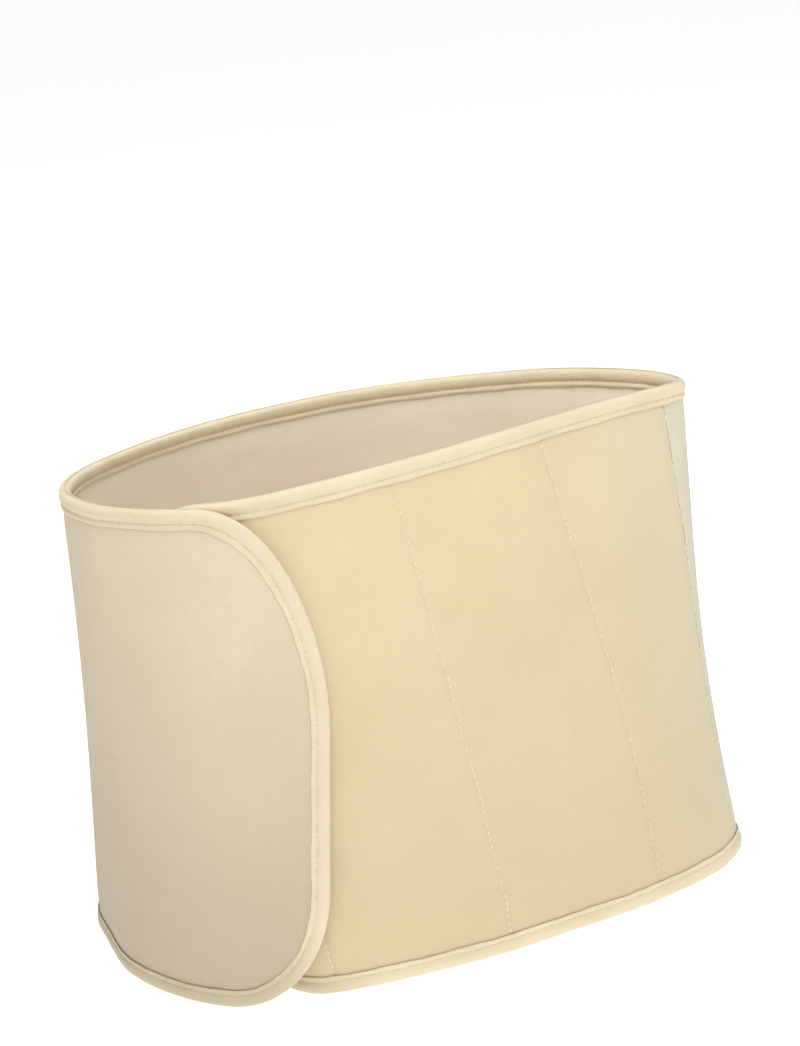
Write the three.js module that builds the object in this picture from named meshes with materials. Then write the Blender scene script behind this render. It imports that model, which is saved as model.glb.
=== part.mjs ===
// Back brace: a wide cloth band that closes round the waist with a hook-and-loop flap.
// Millimetres, +Z up. The closed band stands on its lower edge, and the origin is at the
// centre of the box round it, on the floor.
import * as THREE from 'three';

// --- Driving dimensions -------------------------------------------------------------------
const HEIGHT = 280;          // height of the band, edge to edge
const LAP_STEP = 6.8;         // how far the flap's layer stands outside the front panel's
const WAIST_DEPTH = 8;       // how far the right fold is drawn in at half height

// Places round the band, as shares of the way round from the centre back by the right
const LAP_START = 0.7;       // going on to the flap, the layer starts to stand off here
const LAP_FULL = 0.645;      // and has its full step here
const WAIST_TURN = 0.21;
const WAIST_WIDTH = 0.11;
const CENTRE = { x: 0.46, y: 14.81 };  // centre of the box round the band, in ring coordinates

// Layers, as distances from the middle of the cloth, outward positive
const LINING = [-1.6, -0.8];
const CORE = [-0.5, 0.5];
const OUTER = [0.8, 1.6];
const HOOKS = [-3.1, -2];

// Folded binding tape: its outer faces, its inner faces and the depth of its legs
const TAPE_OUT = 3;
const TAPE_IN = 2.3;
const TAPE_THICK = 0.8;
const TAPE_DEPTH = 10;
const CLOTH_EDGE = 1.5;      // the cloth stops this far inside the outer line of the tape

const SPLIT = 0.2;           // half the gap between two bodies at a fold
const STAY_WIDTH = 7;
const STAY_ROOM = 0.5;       // side play of a stay between the padding panels
const STAY_END = 14;         // a stay stops this far from the band's edges
const HALF_SLOT = STAY_WIDTH / 2 + STAY_ROOM;

// Plan outlines of the upper and lower edge, from the centre back round by the right
const UPPER_RING = [
  [28, 111], [98, 107], [144, 90], [167, 72], [173, 57], [163, 51], [138, 41], [56, -3],
  [-24, -42], [-80, -58], [-115, -50], [-146, -30], [-162, -10], [-157, 18], [-119, 58],
  [-50, 96],
];
const LOWER_RING = [
  [28, 112], [95, 106], [148, 84], [180, 56], [188, 34], [174, 9], [134, -18], [76, -43],
  [4, -66], [-58, -77], [-108, -71], [-143, -49], [-170, -14], [-187, 30], [-180, 62],
  [-138, 93], [-60, 109],
];

// Upright lines of the band: distance from the centre back along the upper and lower edge.
// To the right is positive and to the left is negative.
const line = (upper, lower) => ({ s: (upper + lower) / 2, upper, lower });
const CENTRE_BACK = line(0, 0);
const BACK_SEAM = line(91, 94);
const RIGHT_FOLD = line(166, 190);
const SIDE_STAY = line(186, 205);
const RIGHT_STAY = line(268, 274);
const LEFT_STAY = line(358, 369);
const LAP_STAY = line(447, 459);
const UNDERLAP_END = line(500, 515);
const LEFT_FOLD = line(-237, -262);
const FLAP_ROOT = line(-334, -380);
const FLAP_END = line(-397, -439);

const RIGHT_LINES = [
  CENTRE_BACK, BACK_SEAM, line(135, 148), RIGHT_FOLD, line(198, 218), RIGHT_STAY, LEFT_STAY,
  LAP_STAY, UNDERLAP_END,
];
const RIGHT_STEPS = [3, 2, 5, 4, 2, 3, 6, 4];
const LEFT_LINES = [
  CENTRE_BACK, line(-110, -105), line(-205, -215), LEFT_FOLD, line(-262, -300), FLAP_ROOT,
  FLAP_END,
];
const LEFT_STEPS = [3, 4, 5, 4, 5, 6];
const BACK_STAYS = { left: -62, right: 58 };
const FRONT_STAYS = [SIDE_STAY.s, RIGHT_STAY.s, LEFT_STAY.s, LAP_STAY.s];

// Round corners: width and height of each, the power of the curve, and its facets
const FLAP_TOP_CORNER = { width: 62, height: 125, power: 1.7, steps: 9 };
const FLAP_BOTTOM_CORNER = { width: 50, height: 60, power: 2, steps: 5 };
const UNDERLAP_CORNER = { width: 45, height: 60, power: 2, steps: 4 };
const ROUND_END_COLUMNS = 6;

// --- The curved surface of the band -------------------------------------------------------
const UP = new THREE.Vector3(0, 0, 1);

function ringCurve(points) {
  const inSpace = points.map(([x, y]) => new THREE.Vector3(x - CENTRE.x, y - CENTRE.y, 0));
  const curve = new THREE.CatmullRomCurve3(inSpace, true, 'centripetal');
  curve.arcLengthDivisions = 1600;
  return { curve, length: curve.getLength() };
}

const upperRing = ringCurve(UPPER_RING);
const lowerRing = ringCurve(LOWER_RING);

// Point and outward direction at a share of the way round a ring
function ringPoint({ curve }, turn) {
  const point = curve.getPointAt(turn);
  const normal = new THREE.Vector3().crossVectors(UP, curve.getTangentAt(turn));
  return { point, normal: normal.normalize() };
}

// Index and fraction of a value in a rising or falling list
function locate(list, value) {
  const falling = list[1] < list[0];
  let i = 0;
  while (i < list.length - 2 && (falling ? value < list[i + 1] : value > list[i + 1])) i += 1;
  return [i, (value - list[i]) / (list[i + 1] - list[i])];
}

// Columns where the faceted surface bends: each line to the next in equal steps, and both
// edges of each stay's slot
function columnsAlong(lines, steps, stays) {
  const columns = [lines[0]];
  for (let i = 0; i < steps.length; i += 1) {
    for (let k = 1; k <= steps[i]; k += 1) {
      const upper = THREE.MathUtils.lerp(lines[i].upper, lines[i + 1].upper, k / steps[i]);
      const lower = THREE.MathUtils.lerp(lines[i].lower, lines[i + 1].lower, k / steps[i]);
      columns.push(line(upper, lower));
    }
  }
  const slotEdges = stays.flatMap((s) => [s - HALF_SLOT, s + HALF_SLOT]);
  const places = columns.map((column) => column.s);
  const slotColumns = slotEdges.map((s) => {
    const [i, along] = locate(places, s);
    const upper = THREE.MathUtils.lerp(columns[i].upper, columns[i + 1].upper, along);
    const lower = THREE.MathUtils.lerp(columns[i].lower, columns[i + 1].lower, along);
    return line(upper, lower);
  });
  const all = [...columns, ...slotColumns].sort((a, b) => Math.abs(a.s) - Math.abs(b.s));
  return all.filter((column, i) => i === 0 || Math.abs(column.s - all[i - 1].s) > 0.8);
}

// How far a point stands off the plain band: outward on the flap's side, where it laps over
// the front panel, and inward at the right fold, where the band is waisted
function standOff(column, turn, rise) {
  const lap = LAP_STEP * (1 - THREE.MathUtils.smoothstep(turn, LAP_FULL, LAP_START));
  const fromFold = (turn - WAIST_TURN) / WAIST_WIDTH;
  const waist = WAIST_DEPTH * Math.exp(-fromFold * fromFold) * Math.sin(Math.PI * rise);
  return (column.s < 0 ? lap : 0) - waist;
}

// One point of the smooth surface over a column, at height z, with its outward direction
function smoothPoint(column, z) {
  const rise = z / HEIGHT;
  const share = THREE.MathUtils.lerp(
    column.lower / lowerRing.length, column.upper / upperRing.length, rise,
  );
  const turn = THREE.MathUtils.euclideanModulo(share, 1);
  const upper = ringPoint(upperRing, turn);
  const lower = ringPoint(lowerRing, turn);
  const normal = lower.normal.lerp(upper.normal, rise).normalize();
  const point = lower.point.lerp(upper.point, rise);
  point.addScaledVector(normal, standOff(column, turn, rise));
  return { point: point.setZ(z), normal };
}

const ROWS = [0, 10, 80, 150, 220, 270, HEIGHT];

function lattice(lines, steps, stays) {
  const columns = columnsAlong(lines, steps, stays);
  const grid = ROWS.map((z) => columns.map((column) => smoothPoint(column, z)));
  return { places: columns.map((column) => column.s), grid };
}

const rightSide = lattice(RIGHT_LINES, RIGHT_STEPS, [BACK_STAYS.right, ...FRONT_STAYS]);
const leftSide = lattice(LEFT_LINES, LEFT_STEPS, [BACK_STAYS.left]);

// Point of the faceted surface at distance s along the band and height z, moved outward
function surfacePoint(s, z, outward) {
  const side = s < 0 ? leftSide : rightSide;
  const [row, up] = locate(ROWS, z);
  const [column, along] = locate(side.places, s);
  const mix = (key) => {
    const low = side.grid[row][column][key].clone();
    low.lerp(side.grid[row][column + 1][key], along);
    const high = side.grid[row + 1][column][key].clone();
    high.lerp(side.grid[row + 1][column + 1][key], along);
    return low.lerp(high, up);
  };
  return mix('point').addScaledVector(mix('normal'), outward);
}

// --- Solids from rows of points -----------------------------------------------------------
// A solid from rings of points that all have the same count, closed at both ends by fans
function solidFromSections(sections) {
  const count = sections[0].length;
  const positions = sections.flat().flatMap((point) => point.toArray());
  const index = [];
  for (let i = 0; i < sections.length - 1; i += 1) {
    for (let k = 0; k < count; k += 1) {
      const a = i * count + k;
      const b = i * count + ((k + 1) % count);
      index.push(a, b, b + count, a, b + count, a + count);
    }
  }
  return { positions, index, count };
}

function closedGeometry(positions, index) {
  const geometry = new THREE.BufferGeometry();
  geometry.setAttribute('position', new THREE.Float32BufferAttribute(positions, 3));
  geometry.setIndex(signedVolume(positions, index) < 0 ? index.toReversed() : index);
  geometry.computeVertexNormals();
  return geometry;
}

function signedVolume(positions, index) {
  const corner = (k) => new THREE.Vector3().fromArray(positions, 3 * index[k]);
  let volume = 0;
  for (let k = 0; k < index.length; k += 3) {
    volume += corner(k).dot(corner(k + 1).cross(corner(k + 2)));
  }
  return volume / 6;
}

// A curved sheet of cloth: rows of [s, z] places, given two faces and a rim
function sheetGeometry(rows, [inner, outer]) {
  const wide = rows[0].length;
  const face = rows.length * wide;
  const places = rows.flat();
  const points = [inner, outer].flatMap(
    (depth) => places.map(([s, z]) => surfacePoint(s, z, depth)),
  );
  const index = [];
  const quad = (a, b, c, d) => index.push(a, b, c, a, c, d);
  for (let j = 0; j < rows.length - 1; j += 1) {
    for (let i = 0; i < wide - 1; i += 1) {
      const a = j * wide + i;
      quad(a + face, a + face + 1, a + face + wide + 1, a + face + wide);
      quad(a, a + wide, a + wide + 1, a + 1);
    }
    const left = j * wide;
    const right = left + wide - 1;
    quad(left, left + face, left + face + wide, left + wide);
    quad(right, right + wide, right + face + wide, right + face);
  }
  const last = (rows.length - 1) * wide;
  for (let i = 0; i < wide - 1; i += 1) {
    quad(i, i + 1, i + face + 1, i + face);
    quad(last + i, last + i + face, last + i + face + 1, last + i + 1);
  }
  return closedGeometry(points.flatMap((point) => point.toArray()), index);
}

// The corners of a round corner's facets, from the level edge to the upright end: how far
// each lies back from the end, and how far from the level edge
function cornerPlaces(corner, shrink) {
  return Array.from({ length: corner.steps + 1 }, (_, k) => {
    const angle = (Math.PI / 2) * (k / corner.steps);
    const across = Math.sin(angle) ** (2 / corner.power);
    const level = Math.cos(angle) ** (2 / corner.power);
    const back = (corner.width - shrink) * (1 - across);
    return { back, drop: (corner.height - shrink) * (1 - level), across, level };
  });
}

// How far a round corner draws the end in, at a given distance from the band's edge
function cornerInset(corner, fromEdge, shrink) {
  const places = cornerPlaces(corner, shrink);
  if (fromEdge >= corner.height - shrink) return 0;
  const [k, along] = locate(places.map((place) => place.drop), fromEdge);
  return THREE.MathUtils.lerp(places[k].back, places[k + 1].back, along);
}

const between = (list, low, high) => list.filter((v) => v > low + 0.6 && v < high - 0.6);

function rowHeights(low, high, extra) {
  const inner = between([...ROWS, ...extra], low, high).sort((a, b) => a - b);
  return [low, ...inner.filter((z, i) => i === 0 || z - inner[i - 1] > 3), high];
}

function columnPlaces(from, to) {
  const places = [...leftSide.places.toReversed(), ...rightSide.places.slice(1)];
  const inner = between(places, Math.min(from, to), Math.max(from, to));
  return from < to ? [from, ...inner, to] : [from, ...inner.reverse(), to];
}

// A plain panel from one upright line to another
function panelRows(from, to, low, high, extra = []) {
  const places = columnPlaces(from, to);
  return rowHeights(low, high, extra).map((z) => places.map((s) => [s, z]));
}

// A panel whose far end has two round corners. Past the line where the corners begin, the
// columns share what is left of each row.
function roundEndRows(from, to, inset, corners, extra) {
  const way = Math.sign(to - from);
  const bend = to - way * Math.max(corners.top.width, corners.bottom.width);
  const fixed = columnPlaces(from, Math.abs(bend - from) > 2 ? bend : from + way * 2);
  const start = fixed[fixed.length - 1];
  return rowHeights(inset, HEIGHT - inset, extra).map((z) => {
    const low = cornerInset(corners.bottom, z - inset, inset);
    const high = cornerInset(corners.top, HEIGHT - inset - z, inset);
    const end = to - way * (inset + Math.max(low, high));
    const row = fixed.map((s) => [s, z]);
    for (let k = 1; k <= ROUND_END_COLUMNS; k += 1) {
      row.push([THREE.MathUtils.lerp(start, end, k / ROUND_END_COLUMNS), z]);
    }
    return row;
  });
}

// Heights of extra rows, so that the corners come out round
function cornerRows({ top, bottom }) {
  const drops = (corner) => cornerPlaces(corner, 0).slice(1).map((place) => place.drop);
  return [...drops(bottom), ...drops(top).map((drop) => HEIGHT - drop)];
}

// --- Binding tape -------------------------------------------------------------------------
const TAPE_SECTION = [
  [0, -TAPE_OUT], [0, TAPE_OUT], [TAPE_DEPTH, TAPE_OUT], [TAPE_DEPTH, TAPE_IN],
  [TAPE_THICK, TAPE_IN], [TAPE_THICK, -TAPE_IN], [TAPE_DEPTH, -TAPE_IN],
  [TAPE_DEPTH, -TAPE_OUT],
];

// A folded tape along a route of { s, z, inS, inZ }, where inS, inZ point into the cloth
function tapeGeometry(route) {
  const sections = route.map(({ s, z, inS, inZ }) => TAPE_SECTION.map(
    ([depth, outward]) => surfacePoint(s + depth * inS, z + depth * inZ, outward),
  ));
  const { positions, index, count } = solidFromSections(sections);
  const cap = (base) => [
    [0, 1, 4], [0, 4, 5], [1, 2, 3], [1, 3, 4], [0, 5, 6], [0, 6, 7],
  ].map((face) => face.map((k) => base + k));
  const start = cap(0).map((face) => face.toReversed());
  const end = cap((sections.length - 1) * count);
  return closedGeometry(positions, [...index, ...start.flat(), ...end.flat()]);
}

const alongEdge = (places, z, inZ) => places.map((s) => ({ s, z, inS: 0, inZ }));

function edgeTape(from, to, z) {
  return tapeGeometry(alongEdge(columnPlaces(from, to), z, z > 0 ? -1 : 1));
}

// Round one corner: the route leaves the level edge and ends upright
function cornerRoute(end, way, corner, top) {
  return cornerPlaces(corner, 0).map(({ back, drop, across, level }) => {
    const slopeS = across ** (corner.power - 1) / corner.width;
    const slopeZ = level ** (corner.power - 1) / corner.height;
    const length = Math.hypot(slopeS, slopeZ);
    const place = { s: end - way * back, z: top ? HEIGHT - drop : drop };
    return { ...place, inS: (-way * slopeS) / length, inZ: (top ? -slopeZ : slopeZ) / length };
  });
}

// One tape along the upper edge, round the end and back along the lower edge
function wrapTape(from, end, corners) {
  const way = Math.sign(end - from);
  const edgePlaces = (corner) => {
    const stop = end - way * corner.width;
    return Math.abs(stop - from) < 1 ? [from] : columnPlaces(from, stop).slice(0, -1);
  };
  const upper = alongEdge(edgePlaces(corners.top), HEIGHT, -1);
  const lower = alongEdge(edgePlaces(corners.bottom), 0, 1).reverse();
  const round = cornerRoute(end, way, corners.top, true);
  const heights = between(ROWS, corners.bottom.height, HEIGHT - corners.top.height);
  const upright = heights.reverse().map((z) => ({ s: end, z, inS: -way, inZ: 0 }));
  const back = cornerRoute(end, way, corners.bottom, false).reverse();
  return tapeGeometry([...upper, ...round, ...upright, ...back, ...lower]);
}

// --- Materials ----------------------------------------------------------------------------
const cloth = (color) => ({ color, roughness: 0.95, metalness: 0 });
const PLAIN_CLOTH = cloth('#d9ccb0');
const LOOP_CLOTH = cloth('#e6d6ac');
const LINING_CLOTH = cloth('#d4c5a6');
const PADDING = cloth('#efe9dc');
const BINDING = cloth('#ecdfc0');
const HOOK_TAPE = { color: '#d8cfbb', roughness: 0.6, metalness: 0 };
const STAY_STEEL = { color: '#b9bcc0', roughness: 0.35, metalness: 1 };

const brace = new THREE.Group();

function add(name, geometry, look) {
  const mesh = new THREE.Mesh(geometry, new THREE.MeshStandardMaterial(look));
  mesh.name = name;
  brace.add(mesh);
}

// --- Sub-parts ----------------------------------------------------------------------------
const LOW = CLOTH_EDGE;
const HIGH = HEIGHT - CLOTH_EDGE;

function addPanel(name, from, to, layer, look) {
  add(name, sheetGeometry(panelRows(from, to, LOW, HIGH), layer), look);
}

function addStay(name, s, extra) {
  const rows = panelRows(
    s - STAY_WIDTH / 2, s + STAY_WIDTH / 2, STAY_END, HEIGHT - STAY_END, extra,
  );
  add(name, sheetGeometry(rows, CORE), STAY_STEEL);
}

function buildBack() {
  const left = LEFT_FOLD.s + SPLIT;
  const right = RIGHT_FOLD.s - SPLIT;
  addPanel('back_outer_cloth', left, BACK_SEAM.s - SPLIT, OUTER, PLAIN_CLOTH);
  addPanel('back_side_cloth', BACK_SEAM.s + SPLIT, right, OUTER, PLAIN_CLOTH);
  addPanel('back_lining', left, right, LINING, LINING_CLOTH);
  const { left: leftStay, right: rightStay } = BACK_STAYS;
  addPanel('back_padding_left', left, leftStay - HALF_SLOT, CORE, PADDING);
  addPanel('back_padding_middle', leftStay + HALF_SLOT, rightStay - HALF_SLOT, CORE, PADDING);
  addPanel('back_padding_right', rightStay + HALF_SLOT, right, CORE, PADDING);
  addStay('back_stay_left', leftStay);
  addStay('back_stay_right', rightStay);
  add('back_binding_top', edgeTape(left, right, HEIGHT), BINDING);
  add('back_binding_bottom', edgeTape(left, right, 0), BINDING);
}

function buildLeftSide() {
  const from = LEFT_FOLD.s - SPLIT;
  const to = FLAP_ROOT.s + SPLIT;
  addPanel('left_side_outer', from, to, OUTER, PLAIN_CLOTH);
  addPanel('left_side_padding', from, to, CORE, PADDING);
  addPanel('left_side_lining', from, to, LINING, LINING_CLOTH);
  add('left_side_binding_top', edgeTape(from, to, HEIGHT), BINDING);
  add('left_side_binding_bottom', edgeTape(from, to, 0), BINDING);
}

function buildFlap() {
  const from = FLAP_ROOT.s - SPLIT;
  const corners = { top: FLAP_TOP_CORNER, bottom: FLAP_BOTTOM_CORNER };
  const extra = cornerRows(corners);
  const layer = (inset) => roundEndRows(from, FLAP_END.s, inset, corners, extra);
  add('flap_outer', sheetGeometry(layer(CLOTH_EDGE), OUTER), PLAIN_CLOTH);
  add('flap_padding', sheetGeometry(layer(CLOTH_EDGE), CORE), PADDING);
  add('flap_lining', sheetGeometry(layer(CLOTH_EDGE), LINING), LINING_CLOTH);
  add('flap_hook_panel', sheetGeometry(layer(TAPE_DEPTH + 3), HOOKS), HOOK_TAPE);
  add('flap_binding', wrapTape(from, FLAP_END.s, corners), BINDING);
}

function buildFront() {
  const from = RIGHT_FOLD.s + SPLIT;
  const corners = { top: UNDERLAP_CORNER, bottom: UNDERLAP_CORNER };
  const extra = cornerRows(corners);
  const rows = roundEndRows(from, UNDERLAP_END.s, CLOTH_EDGE, corners, extra);
  add('front_loop_cloth', sheetGeometry(rows, OUTER), LOOP_CLOTH);
  add('front_lining', sheetGeometry(rows, LINING), LINING_CLOTH);
  const names = ['side', 'right', 'left', 'lap'];
  FRONT_STAYS.forEach((s, i) => addStay(`front_stay_${names[i]}`, s, extra));
  for (let i = 1; i < FRONT_STAYS.length; i += 1) {
    const [start, end] = [FRONT_STAYS[i - 1] + HALF_SLOT, FRONT_STAYS[i] - HALF_SLOT];
    const panel = panelRows(start, end, LOW, HIGH, extra);
    add(`front_padding_${names[i]}`, sheetGeometry(panel, CORE), PADDING);
  }
  const lapStart = LAP_STAY.s + HALF_SLOT;
  const lapRows = roundEndRows(lapStart, UNDERLAP_END.s, CLOTH_EDGE, corners, extra);
  add('front_padding_end', sheetGeometry(lapRows, CORE), PADDING);
  add('front_binding', wrapTape(from, UNDERLAP_END.s, corners), BINDING);
}

buildBack();
buildLeftSide();
buildFlap();
buildFront();

export default brace;
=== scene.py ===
"""Back brace: the looks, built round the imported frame.

Places on the band are given in millimetres as (s, z, out): s runs along the cloth from the
centre back, right positive and left negative, z is the height, and out is the distance from
the middle of the cloth, outward positive. surface() turns them into metres in the frame.
"""
import math

import bpy
import numpy as np
from mathutils import Matrix, Vector


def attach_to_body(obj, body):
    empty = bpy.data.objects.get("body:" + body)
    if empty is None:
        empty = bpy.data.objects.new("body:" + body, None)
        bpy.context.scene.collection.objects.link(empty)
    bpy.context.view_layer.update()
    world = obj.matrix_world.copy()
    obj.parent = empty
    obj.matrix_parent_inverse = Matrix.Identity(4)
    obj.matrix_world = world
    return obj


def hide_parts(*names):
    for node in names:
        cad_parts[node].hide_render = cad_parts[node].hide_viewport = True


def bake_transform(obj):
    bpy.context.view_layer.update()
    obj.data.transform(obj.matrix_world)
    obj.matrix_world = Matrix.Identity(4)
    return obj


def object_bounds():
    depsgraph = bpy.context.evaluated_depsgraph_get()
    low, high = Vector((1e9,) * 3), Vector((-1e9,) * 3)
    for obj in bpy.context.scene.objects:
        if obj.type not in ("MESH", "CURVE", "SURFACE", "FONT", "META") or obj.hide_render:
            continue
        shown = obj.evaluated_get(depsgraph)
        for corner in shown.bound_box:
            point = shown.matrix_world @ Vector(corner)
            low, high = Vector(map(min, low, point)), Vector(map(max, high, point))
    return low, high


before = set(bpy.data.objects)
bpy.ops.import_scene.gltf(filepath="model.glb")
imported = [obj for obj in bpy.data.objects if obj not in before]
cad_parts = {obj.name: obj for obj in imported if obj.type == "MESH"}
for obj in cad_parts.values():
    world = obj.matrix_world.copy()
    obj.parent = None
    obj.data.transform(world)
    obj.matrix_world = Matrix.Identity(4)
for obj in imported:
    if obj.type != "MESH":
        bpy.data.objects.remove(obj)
cad_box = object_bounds()

# --- Driving dimensions, millimetres ---
MM = 0.001
HEIGHT = (cad_box[1][2] - cad_box[0][2]) / MM
LAP_STEP = 6.8               # how far the flap's layer stands outside the front panel's
FLAP_LIFT = 4.5              # how far the flap's lower corner stands off, beyond the lap's step
LIFT_START = -372            # the flap is lifted from here to its round end
# Shares of the way round, where the flap's layer starts to step out and where it is full
LAP_START, LAP_FULL = 0.7, 0.645
# How far the right fold is drawn in at half height, and its place and reach, as such shares
WAIST_DEPTH, WAIST_TURN, WAIST_WIDTH = 8.0, 0.21, 0.11
RING_CENTRE = np.array([0.46, 14.81])   # centre of the box round the band
# Plan outlines of the upper and lower edge, from the centre back round by the right
UPPER_RING = [
    (28, 111), (98, 107), (144, 90), (167, 72), (173, 57), (163, 51), (138, 41), (56, -3),
    (-24, -42), (-80, -58), (-115, -50), (-146, -30), (-162, -10), (-157, 18), (-119, 58),
    (-50, 96),
]
LOWER_RING = [
    (28, 112), (95, 106), (148, 84), (180, 56), (188, 34), (174, 9), (134, -18), (76, -43),
    (4, -66), (-58, -77), (-108, -71), (-143, -49), (-170, -14), (-187, 30), (-180, 62),
    (-138, 93), (-60, 109),
]
# Upright lines of the band: distance from the centre back along its upper and lower edge
LINES = {
    "flap_end": (-397, -439), "flap_root": (-334, -380), "left_turn": (-262, -300),
    "left_fold": (-237, -262), "left_back": (-205, -215), "left_stay": (-110, -105),
    "centre": (0, 0), "seam": (91, 94), "right_back": (135, 148), "right_fold": (166, 190),
    "side_stay": (186, 205), "right_turn": (198, 218), "right_stay": (268, 274),
    "left_front_stay": (358, 369), "lap_stay": (447, 459), "underlap_end": (500, 515),
}
PLACE = {name: (upper + lower) / 2 for name, (upper, lower) in LINES.items()}
SPLIT_LEFT = -300            # two lengths of each cloth and tape meet here
SPLIT_RIGHT = 120            # and here, two lengths of the lining and of the tape

CLOTH_EDGE = 1.5             # the cloths stop this far inside the outer line of the tape
# Layers, as distances from the middle of the cloth, outward positive
OUTER = (0.55, 1.6)
LINING = (-1.6, -0.55)
CORE = (-0.5, 0.5)
HOOKS = (-2.5, -1.95)
# Round corners: width, height and the power of their curve
FLAP_CORNERS = {"top": (62, 125, 1.7), "bottom": (50, 60, 2.0)}
UNDERLAP_CORNERS = {"top": (45, 60, 2.0), "bottom": (45, 60, 2.0)}
ROW_STEP = 2.2               # step of the grids up the band, and of the routes round its edges
FRONT_STAYS = [PLACE[n] for n in ("side_stay", "right_stay", "left_front_stay", "lap_stay")]
BACK_STAYS = [-62, 58]
STAY_ASIDE = 4.5             # a stay lies this far beside its pocket's line of stitches
STAY_END = 14                # a stay stops this far from the band's edges
HALF_STAY, HALF_SLOT = 3.5, 4   # half widths of a stay, and of its room in the wadding


# --- The curved surface ---
class Ring:
    """Plan outline of one edge of the band, by share of the way round."""

    def __init__(self, points, steps=40):
        ring = np.array(points, float) - RING_CENTRE
        dense = []
        for i in range(len(ring)):
            p0, p1, p2, p3 = (ring[(i + k) % len(ring)] for k in (-1, 0, 1, 2))
            d0, d1, d2 = (math.sqrt(np.linalg.norm(b - a)) for a, b in
                          ((p0, p1), (p1, p2), (p2, p3)))
            m1 = ((p1 - p0) / d0 - (p2 - p0) / (d0 + d1) + (p2 - p1) / d1) * d1
            m2 = ((p2 - p1) / d1 - (p3 - p1) / (d1 + d2) + (p3 - p2) / d2) * d1
            for k in range(steps):
                t = k / steps
                dense.append(p1 + m1 * t + (3 * (p2 - p1) - 2 * m1 - m2) * t ** 2
                             + (2 * (p1 - p2) + m1 + m2) * t ** 3)
        self.xy = np.array(dense + [dense[0]])
        run = np.linalg.norm(np.diff(self.xy, axis=0), axis=1)
        self.length = run.sum()
        self.turns = np.concatenate([[0], np.cumsum(run)]) / self.length
        ahead = np.roll(self.xy[:-1], -1, axis=0) - np.roll(self.xy[:-1], 1, axis=0)
        ahead /= np.linalg.norm(ahead, axis=1)[:, None]
        out = np.stack([-ahead[:, 1], ahead[:, 0]], axis=1)
        self.out = np.vstack([out, out[:1]])

    def at(self, turn, values):
        """Values between the ring's points, at shares of the way round."""
        turn = np.mod(turn, 1.0)
        return np.stack([np.interp(turn, self.turns, values[:, k]) for k in (0, 1)], axis=-1)


upper_ring, lower_ring = Ring(UPPER_RING), Ring(LOWER_RING)
ordered_lines = sorted(LINES.values(), key=sum)
ordered_places = [sum(pair) / 2 for pair in ordered_lines]


def smoothstep(x, low, high):
    t = np.clip((x - low) / (high - low), 0, 1)
    return t * t * (3 - 2 * t)


def ripple(turn, z):
    """Gentle unevenness of a soft band, the same for every layer, in millimetres."""
    a, v = 2 * math.pi * turn, z / HEIGHT
    wave = 0.9 * np.sin(3 * a + 4.1 * v + 0.6) * np.sin(math.pi * v * 0.9 + 0.4)
    wave += 0.55 * np.sin(7 * a - 5.3 * v + 1.9)
    wave += 0.35 * np.sin(13 * a + 8.7 * v + 0.3) * np.sin(5.1 * v + 0.8)
    return 0.8 * wave


# The front's upright lines bow towards the right fold: places, the most they move, the shape
BOW_AT, BOW = [92.5, 191, 266.5, 359, 457.5], [0, -4, -9.5, -5, 0]
BOW_POWER = 0.8


def place_on_band(s, z):
    """Point in millimetres, outward direction, for arrays of places on the band."""
    s, z = np.broadcast_arrays(np.asarray(s, float), np.asarray(z, float))
    rise = z / HEIGHT
    s = s + np.interp(s, BOW_AT, BOW) * np.sin(math.pi * rise ** BOW_POWER)
    upper, lower = (np.interp(s, ordered_places, arcs) for arcs in zip(*ordered_lines))
    low, high = lower / lower_ring.length, upper / upper_ring.length
    turn = np.mod(low + (high - low) * rise, 1.0)
    up = rise[..., None]
    xy = lower_ring.at(turn, lower_ring.xy) * (1 - up) + upper_ring.at(turn, upper_ring.xy) * up
    out = lower_ring.at(turn, lower_ring.out) * (1 - up)
    out = out + upper_ring.at(turn, upper_ring.out) * up
    out /= np.linalg.norm(out, axis=-1)[..., None]
    lap = np.where(s < 0, LAP_STEP * (1 - smoothstep(turn, LAP_FULL, LAP_START)), 0)
    on_flap = smoothstep(-s, -LIFT_START, -PLACE["flap_end"])
    lap = lap + FLAP_LIFT * on_flap * (1 - smoothstep(rise, 0.05, 0.5))
    from_fold = (turn - WAIST_TURN) / WAIST_WIDTH
    waist = WAIST_DEPTH * np.exp(-from_fold ** 2) * np.sin(math.pi * rise)
    xy = xy + out * (lap - waist + ripple(turn, z))[..., None]
    return xy, out


def surface(s, z, outward):
    """Points in metres, in the frame, for arrays of places on the band."""
    xy, out = place_on_band(s, z)
    xy = xy + out * np.broadcast_to(outward, xy.shape[:-1])[..., None]
    height = np.broadcast_to(z, xy.shape[:-1])[..., None]
    return np.concatenate([xy, height], axis=-1) * MM


def outward_at(s, z):
    """Outward directions in the frame, for arrays of places on the band."""
    out = place_on_band(s, z)[1]
    return np.concatenate([out, np.zeros(out.shape[:-1] + (1,))], axis=-1)


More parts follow.
